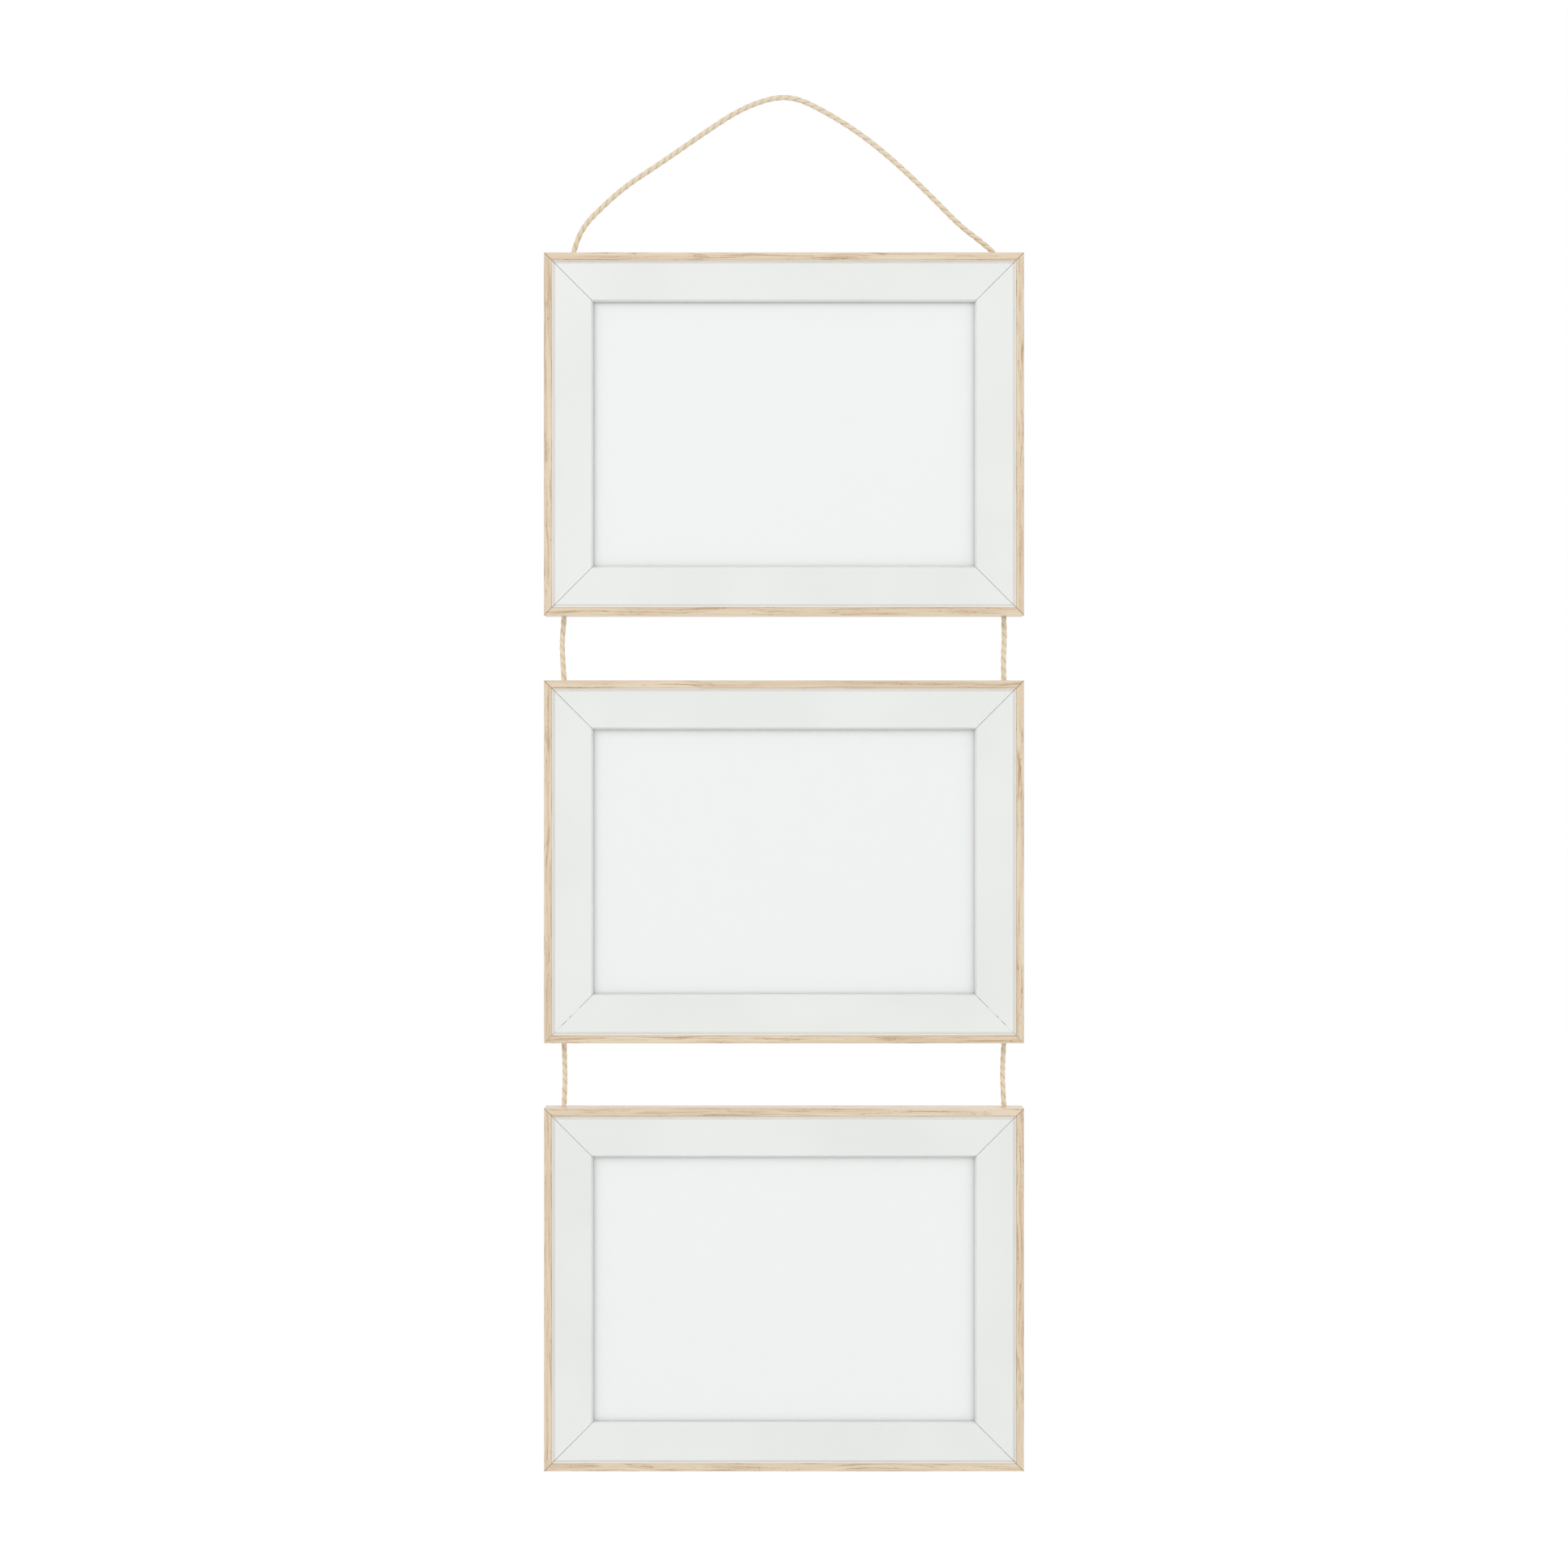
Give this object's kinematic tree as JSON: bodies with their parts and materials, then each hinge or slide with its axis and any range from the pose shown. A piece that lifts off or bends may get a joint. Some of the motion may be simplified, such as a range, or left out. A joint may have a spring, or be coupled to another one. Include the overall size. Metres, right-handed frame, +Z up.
{
  "type": "hanging collage photo frame",
  "caption": "Hanging collage photo frame: landscape oak-rimmed frames with white mouldings, hung one below another on twisted cord.",
  "frame": {"origin": "top of the hanging cord's arch, on the cord's centre line, where it lies on its hook", "axes": "+Z up along the hanging set, +X to the right as seen from the front, fronts toward -Y"},
  "size_m": [0.209, 0.0178, 0.6016],
  "materials": {
    "oak": "clear matt lacquer over light oak",
    "white_moulding": "white satin paint",
    "glazing": "clear acrylic sheet",
    "insert_board": "plain white paper face on foam board",
    "board": "brown fibreboard",
    "zinc_steel": "bright zinc",
    "cord": "three-strand twisted jute"
  },
  "bodies": {
    "hanging_cord": {"hanging_cord": "cord"},
    "upper_frame": {"upper_rim_top": "oak", "upper_moulding_top": "white_moulding", "upper_rim_bottom": "oak", "upper_moulding_bottom": "white_moulding", "upper_rim_left": "oak", "upper_moulding_left": "white_moulding", "upper_rim_right": "oak", "upper_moulding_right": "white_moulding", "upper_glazing": "glazing", "upper_insert": "insert_board", "upper_board": "board", "upper_screws": "zinc_steel", "upper_nails": "zinc_steel", "upper_staples": "zinc_steel", "upper_cord_ends": "cord"},
    "upper_button_top": {"upper_button_top": "zinc_steel"},
    "upper_button_bottom": {"upper_button_bottom": "zinc_steel"},
    "upper_button_left": {"upper_button_left": "zinc_steel"},
    "upper_button_right": {"upper_button_right": "zinc_steel"},
    "middle_frame": {"middle_rim_top": "oak", "middle_moulding_top": "white_moulding", "middle_rim_bottom": "oak", "middle_moulding_bottom": "white_moulding", "middle_rim_left": "oak", "middle_moulding_left": "white_moulding", "middle_rim_right": "oak", "middle_moulding_right": "white_moulding", "middle_glazing": "glazing", "middle_insert": "insert_board", "middle_board": "board", "middle_screws": "zinc_steel", "middle_nails": "zinc_steel", "middle_staples": "zinc_steel", "middle_cord_ends": "cord"},
    "upper_links": {"upper_links": "cord"},
    "middle_button_top": {"middle_button_top": "zinc_steel"},
    "middle_button_bottom": {"middle_button_bottom": "zinc_steel"},
    "middle_button_left": {"middle_button_left": "zinc_steel"},
    "middle_button_right": {"middle_button_right": "zinc_steel"},
    "lower_frame": {"lower_rim_top": "oak", "lower_moulding_top": "white_moulding", "lower_rim_bottom": "oak", "lower_moulding_bottom": "white_moulding", "lower_rim_left": "oak", "lower_moulding_left": "white_moulding", "lower_rim_right": "oak", "lower_moulding_right": "white_moulding", "lower_glazing": "glazing", "lower_insert": "insert_board", "lower_board": "board", "lower_screws": "zinc_steel", "lower_nails": "zinc_steel", "lower_staples": "zinc_steel", "lower_cord_ends": "cord"},
    "lower_links": {"lower_links": "cord"},
    "lower_button_top": {"lower_button_top": "zinc_steel"},
    "lower_button_bottom": {"lower_button_bottom": "zinc_steel"},
    "lower_button_left": {"lower_button_left": "zinc_steel"},
    "lower_button_right": {"lower_button_right": "zinc_steel"}
  },
  "joints": [
    {"name": "upper_frame_swing", "type": "hinge", "parent": "hanging_cord", "child": "upper_frame", "pos_m": [0, 0, -0.06845], "axis": [-1, 0, 0], "range_deg": [-90, 90]},
    {"name": "upper_button_top_turn", "type": "hinge", "parent": "upper_frame", "child": "upper_button_top", "pos_m": [0, 0.00322, -0.0794], "axis": [0, 1, 0], "continuous": true},
    {"name": "upper_button_bottom_turn", "type": "hinge", "parent": "upper_frame", "child": "upper_button_bottom", "pos_m": [0, 0.00322, -0.2184], "axis": [0, 1, 0], "continuous": true},
    {"name": "upper_button_left_turn", "type": "hinge", "parent": "upper_frame", "child": "upper_button_left", "pos_m": [-0.095, 0.00322, -0.1489], "axis": [0, 1, 0], "continuous": true},
    {"name": "upper_button_right_turn", "type": "hinge", "parent": "upper_frame", "child": "upper_button_right", "pos_m": [0.095, 0.00322, -0.1489], "axis": [0, 1, 0], "continuous": true},
    {"name": "upper_links_swing", "type": "hinge", "parent": "upper_frame", "child": "upper_links", "pos_m": [0, 0, -0.22935], "axis": [-1, 0, 0], "range_deg": [-45, 45]},
    {"name": "middle_frame_swing", "type": "hinge", "parent": "upper_links", "child": "middle_frame", "pos_m": [0, 0, -0.25475], "axis": [-1, 0, 0], "range_deg": [-45, 45]},
    {"name": "middle_button_top_turn", "type": "hinge", "parent": "middle_frame", "child": "middle_button_top", "pos_m": [0, 0.00322, -0.2657], "axis": [0, 1, 0], "continuous": true},
    {"name": "middle_button_bottom_turn", "type": "hinge", "parent": "middle_frame", "child": "middle_button_bottom", "pos_m": [0, 0.00322, -0.4047], "axis": [0, 1, 0], "continuous": true},
    {"name": "middle_button_left_turn", "type": "hinge", "parent": "middle_frame", "child": "middle_button_left", "pos_m": [-0.095, 0.00322, -0.3352], "axis": [0, 1, 0], "continuous": true},
    {"name": "middle_button_right_turn", "type": "hinge", "parent": "middle_frame", "child": "middle_button_right", "pos_m": [0.095, 0.00322, -0.3352], "axis": [0, 1, 0], "continuous": true},
    {"name": "lower_links_swing", "type": "hinge", "parent": "middle_frame", "child": "lower_links", "pos_m": [0, 0, -0.41565], "axis": [-1, 0, 0], "range_deg": [-45, 45]},
    {"name": "lower_frame_swing", "type": "hinge", "parent": "lower_links", "child": "lower_frame", "pos_m": [0, 0, -0.44105], "axis": [-1, 0, 0], "range_deg": [-45, 45]},
    {"name": "lower_button_top_turn", "type": "hinge", "parent": "lower_frame", "child": "lower_button_top", "pos_m": [0, 0.00322, -0.452], "axis": [0, 1, 0], "continuous": true},
    {"name": "lower_button_bottom_turn", "type": "hinge", "parent": "lower_frame", "child": "lower_button_bottom", "pos_m": [0, 0.00322, -0.591], "axis": [0, 1, 0], "continuous": true},
    {"name": "lower_button_left_turn", "type": "hinge", "parent": "lower_frame", "child": "lower_button_left", "pos_m": [-0.095, 0.00322, -0.5215], "axis": [0, 1, 0], "continuous": true},
    {"name": "lower_button_right_turn", "type": "hinge", "parent": "lower_frame", "child": "lower_button_right", "pos_m": [0.095, 0.00322, -0.5215], "axis": [0, 1, 0], "continuous": true}
  ]
}
